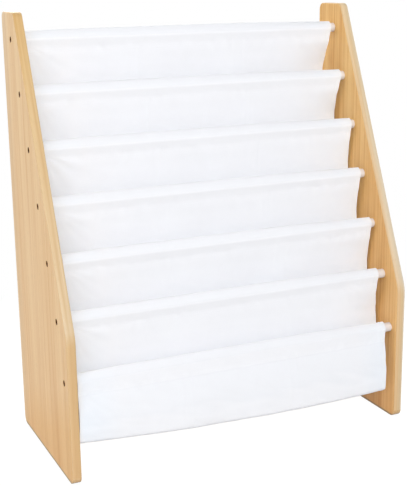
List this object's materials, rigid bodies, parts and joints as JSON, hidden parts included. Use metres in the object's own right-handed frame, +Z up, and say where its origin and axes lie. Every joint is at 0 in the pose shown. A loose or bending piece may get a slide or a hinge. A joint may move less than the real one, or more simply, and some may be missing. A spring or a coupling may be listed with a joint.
{
  "type": "sling bookshelf",
  "caption": "Child's free-standing sling bookshelf: slanted side panels joined by dowels that carry hanging canvas pockets for books shown face out.",
  "frame": {"origin": "on the floor, at the middle of the footprint, midway between the side panels", "axes": "+Z up, -Y towards the front where the pockets open to view, +X to the right seen from the front"},
  "size_m": [0.607, 0.275, 0.711],
  "materials": {
    "wood": "pale natural wood grain running upright, satin clear lacquer, eased edges",
    "dowel": "white satin paint on turned wood",
    "screw": "dark bronze, satin, with a hexagon socket",
    "canvas": "plain woven white cotton canvas, matt, hemmed sides and stitched sleeves"
  },
  "bodies": {
    "root": {"side_panel_left": "wood", "side_panel_right": "wood", "dowel_1": "dowel", "dowel_2": "dowel", "dowel_3": "dowel", "dowel_4": "dowel", "dowel_5": "dowel", "dowel_6": "dowel", "dowel_7": "dowel", "screw_left_1": "screw", "screw_left_2": "screw", "screw_left_3": "screw", "screw_left_4": "screw", "screw_left_5": "screw", "screw_left_6": "screw", "screw_left_7": "screw", "screw_right_1": "screw", "screw_right_2": "screw", "screw_right_3": "screw", "screw_right_4": "screw", "screw_right_5": "screw", "screw_right_6": "screw", "screw_right_7": "screw", "sling_pocket_1": "canvas", "sling_pocket_2": "canvas", "sling_pocket_3": "canvas", "sling_pocket_4": "canvas", "sling_pocket_5": "canvas", "sling_pocket_6": "canvas"}
  },
  "joints": []
}
